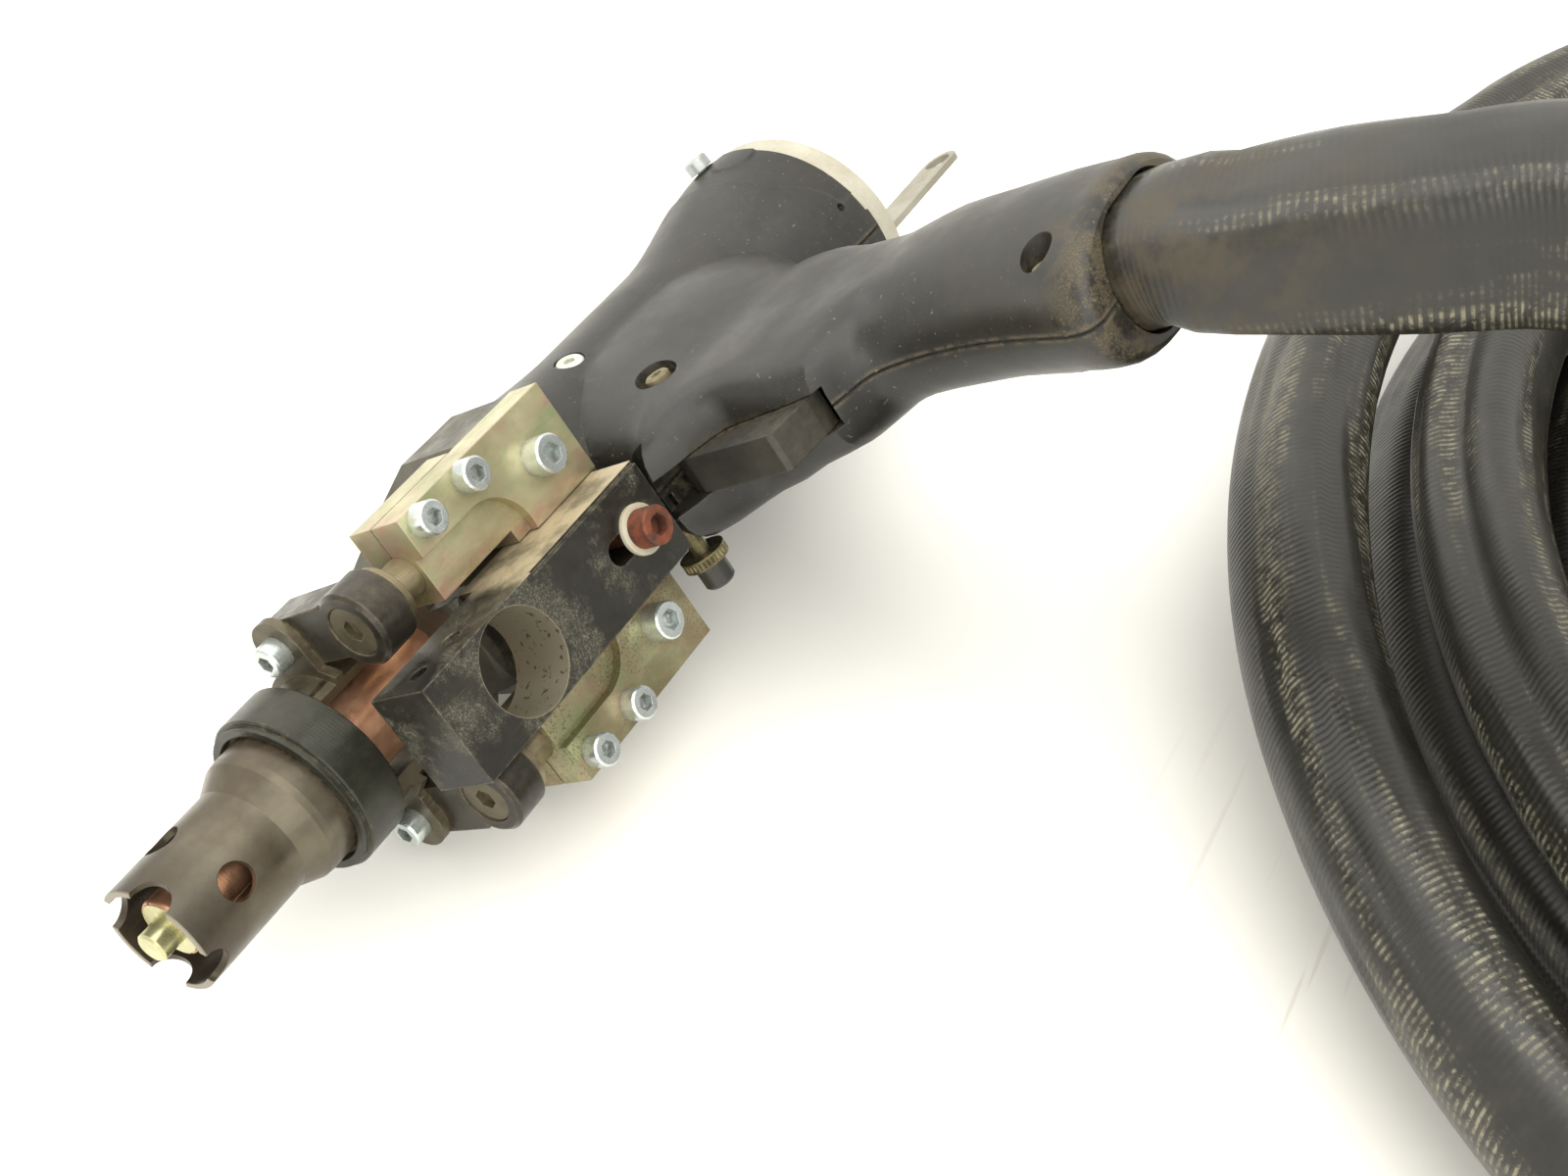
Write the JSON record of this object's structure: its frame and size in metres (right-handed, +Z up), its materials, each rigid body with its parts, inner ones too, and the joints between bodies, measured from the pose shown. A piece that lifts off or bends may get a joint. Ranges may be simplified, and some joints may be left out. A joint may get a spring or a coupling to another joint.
{
  "type": "stud welding gun",
  "caption": "Pistol-shaped stud welding gun with a sliding foot, clamps, nozzle and sprung collet, lying beside its coiled cable-hose.",
  "frame": {"origin": "on the table below the middle of the gun's box, the hose and its plugs left out", "axes": "+X along the barrel from the nozzle to the rear cap, +Z up from the table, +Y away from the handle's open end"},
  "size_m": [0.6298, 0.7808, 0.2033],
  "materials": {
    "shell_plastic": "satin moulded, dusty",
    "block_metal": "dark anodised",
    "yellow_zinc": "yellow chromate zinc",
    "zinc": "bright zinc",
    "black_anodised": "black anodised, scratched",
    "rusty_steel": "rusted",
    "ivory_plastic": "satin",
    "rod_steel": "dull tan",
    "dark_steel": "burnished, worn",
    "olive_metal": "dull olive brown",
    "collar_metal": "dark green grey, satin",
    "nozzle_steel": "heat tinted",
    "copper": null,
    "stud_zinc": "yellow zinc",
    "black_plastic": "satin",
    "lug_metal": "grey beige",
    "hose_rubber": "fine ribbed rubberised jacket, dusty",
    "cable_rubber": "matte",
    "plug_brass": "machined",
    "ring_metal": "knurled"
  },
  "bodies": {
    "gun": {"shell_upper": "shell_plastic", "shell_lower": "shell_plastic", "housing_block": "block_metal", "clamp_left": "yellow_zinc", "clamp_right": "yellow_zinc", "clamp_screws_m6": "zinc", "clamp_screws_m5": "zinc", "bracket_screw": "rusty_steel", "bracket_washer": "ivory_plastic", "trigger_pin": "zinc", "rear_cap": "ivory_plastic", "rear_cap_screws": "zinc", "hanging_lug": "lug_metal", "shell_screws": "zinc", "barrel_screw": "zinc", "hose_lead": "hose_rubber", "hose_coil": "hose_rubber", "hose_tail": "hose_rubber", "split_boot": "cable_rubber", "weld_lead": "cable_rubber", "weld_plug": "black_plastic", "weld_contact": "plug_brass", "control_lead": "cable_rubber", "control_plug": "black_plastic", "control_ring": "ring_metal"},
    "foot": {"rod_left": "rod_steel", "rod_right": "rod_steel", "rod_flanges": "rod_steel", "rod_screws": "dark_steel", "foot_arm_left": "dark_steel", "foot_arm_right": "dark_steel", "foot_ring": "olive_metal", "foot_screws": "zinc", "collar": "collar_metal", "nozzle": "nozzle_steel"},
    "plunger": {"spindle": "zinc", "sleeve": "copper", "collet": "copper", "stud": "stud_zinc"},
    "bracket": {"bracket": "black_anodised"},
    "trigger": {"trigger": "black_plastic"},
    "adjuster": {"adjust_nut": "yellow_zinc", "adjust_knob": "black_plastic"}
  },
  "joints": [
    {"name": "foot_slide", "type": "slide", "parent": "gun", "child": "foot", "axis": [1, 0, 0], "range_m": [-0.02, 0.004]},
    {"name": "plunger_slide", "type": "slide", "parent": "gun", "child": "plunger", "axis": [1, 0, 0], "range_m": [0, 0.005], "stiffness_N_per_m": 3000, "springref_m": -0.004},
    {"name": "bracket_slide", "type": "slide", "parent": "gun", "child": "bracket", "axis": [1, 0, 0], "range_m": [-0.003, 0.004]},
    {"name": "trigger_hinge", "type": "hinge", "parent": "gun", "child": "trigger", "pos_m": [-0.0163, 0.01296, 0.06968], "axis": [0, 0.594, 0.8045], "range_deg": [0, 8], "stiffness_Nm_per_rad": 1, "springref_deg": -3.44},
    {"name": "adjuster_spin", "type": "hinge", "parent": "gun", "child": "adjuster", "pos_m": [-0.0279, 0.00712, 0.04914], "axis": [0, -0.594, -0.8045], "continuous": true}
  ]
}
